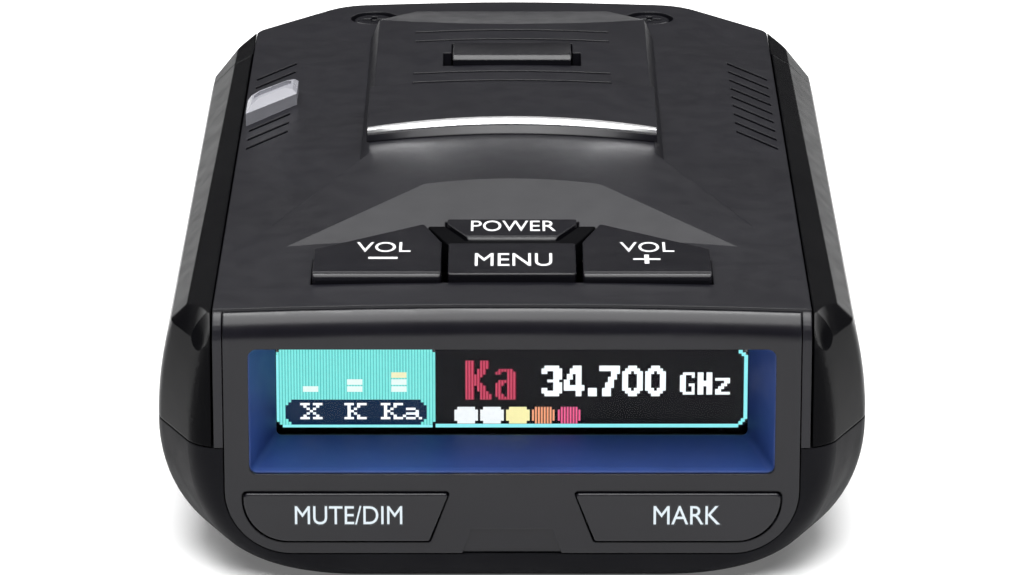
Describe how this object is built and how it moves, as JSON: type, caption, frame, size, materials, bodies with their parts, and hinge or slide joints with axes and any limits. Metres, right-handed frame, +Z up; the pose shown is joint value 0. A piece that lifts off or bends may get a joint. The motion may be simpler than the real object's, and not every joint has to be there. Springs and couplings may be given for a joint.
{
  "type": "radar detector",
  "caption": "Low car radar detector: sloping key deck over a recessed colour display, gloss side panels, bracket release key on a raised spine, power, audio and data sockets.",
  "frame": {"origin": "middle of the footprint, on the surface the detector rests on", "axes": "+X to the driver's right, +Y towards the windscreen, +Z up; the display faces -Y"},
  "size_m": [0.07, 0.1142, 0.0317],
  "materials": {
    "cover_black": "fine-grained charcoal moulding",
    "bezel_black": "smooth satin charcoal moulding",
    "key_black": "satin black key caps with white legends",
    "panel_gloss": "high-gloss black moulding",
    "liner_gloss": "polished near-black funnel",
    "lens_dark": "infrared-pass dark red window",
    "window_clear": "clear flat window",
    "prism_clear": "clear ribbed light guide",
    "trim_chrome": "bright trim",
    "screen_glass": "glossy black emissive display",
    "seal_rubber": "black foam seal",
    "board_green": "solder-masked circuit board",
    "ribbon_amber": "flexible printed circuit",
    "switch_black": "moulded component bodies",
    "stem_white": "white moulded stems and lamp bodies",
    "screw_steel": "zinc-plated steel",
    "guide_plastic": "structural black plastic",
    "shield_tin": "tinned sheet and cast metal",
    "patch_ceramic": "ceramic patch",
    "contact_gold": "gold-plated contacts",
    "label_grey": "blank foil label"
  },
  "bodies": {
    "housing": {"top_shell": "cover_black", "badge_plate": "cover_black", "bottom_shell": "cover_black", "display_bezel": "bezel_black", "side_panel_left": "panel_gloss", "side_panel_right": "panel_gloss", "windshield_fascia": "panel_gloss", "key_frame": "panel_gloss", "recess_liner": "liner_gloss", "laser_lens_window": "lens_dark", "display_window": "window_clear", "rear_laser_prism": "prism_clear", "badge_trim": "trim_chrome", "oled_panel": "screen_glass", "display_gasket": "seal_rubber", "main_board": "board_green", "key_board": "board_green", "front_board": "board_green", "oled_ribbon": "ribbon_amber", "key_board_ribbon": "ribbon_amber", "key_switches": "switch_black", "front_switches": "switch_black", "board_connector": "switch_black", "front_laser_sensor": "switch_black", "rear_laser_sensor": "switch_black", "key_lamps": "stem_white", "front_lamps": "stem_white", "top_screws": "screw_steel", "case_screws": "screw_steel", "board_screws": "screw_steel", "key_board_screws": "screw_steel", "release_spring": "screw_steel", "bracket_guide": "guide_plastic", "power_jack": "guide_plastic", "audio_jack": "guide_plastic", "speaker": "guide_plastic", "rf_shield": "shield_tin", "horn_antenna": "shield_tin", "usb_port": "shield_tin", "gps_antenna": "patch_ceramic", "power_jack_contacts": "contact_gold", "bottom_label": "label_grey"},
    "volume_down": {"volume_down_key": "key_black", "volume_down_stem": "stem_white"},
    "volume_up": {"volume_up_key": "key_black", "volume_up_stem": "stem_white"},
    "menu": {"menu_key": "key_black", "menu_stem": "stem_white"},
    "power": {"power_key": "key_black", "power_stem": "stem_white"},
    "mute": {"mute_key": "key_black", "mute_stem": "stem_white"},
    "mark": {"mark_key": "key_black", "mark_stem": "stem_white"},
    "release": {"release_key": "key_black"}
  },
  "joints": [
    {"name": "volume_down_press", "type": "slide", "parent": "housing", "child": "volume_down", "axis": [0, 0, -1], "range_m": [0, 0.0004], "stiffness_N_per_m": 500, "springref_m": -0.0005},
    {"name": "volume_up_press", "type": "slide", "parent": "housing", "child": "volume_up", "axis": [0, 0, -1], "range_m": [0, 0.0004], "stiffness_N_per_m": 500, "springref_m": -0.0005},
    {"name": "menu_press", "type": "slide", "parent": "housing", "child": "menu", "axis": [0, 0, -1], "range_m": [0, 0.0004], "stiffness_N_per_m": 500, "springref_m": -0.0005},
    {"name": "power_press", "type": "slide", "parent": "housing", "child": "power", "axis": [0, 0, -1], "range_m": [0, 0.0004], "stiffness_N_per_m": 500, "springref_m": -0.0005},
    {"name": "mute_press", "type": "slide", "parent": "housing", "child": "mute", "axis": [0, 1, 0], "range_m": [0, 0.0004], "stiffness_N_per_m": 500, "springref_m": -0.0005},
    {"name": "mark_press", "type": "slide", "parent": "housing", "child": "mark", "axis": [0, 1, 0], "range_m": [0, 0.0004], "stiffness_N_per_m": 500, "springref_m": -0.0005},
    {"name": "release_press", "type": "slide", "parent": "housing", "child": "release", "axis": [0, 0, -1], "range_m": [0, 0.0016], "stiffness_N_per_m": 400, "springref_m": -0.001, "deforming": ["release_spring"]}
  ]
}
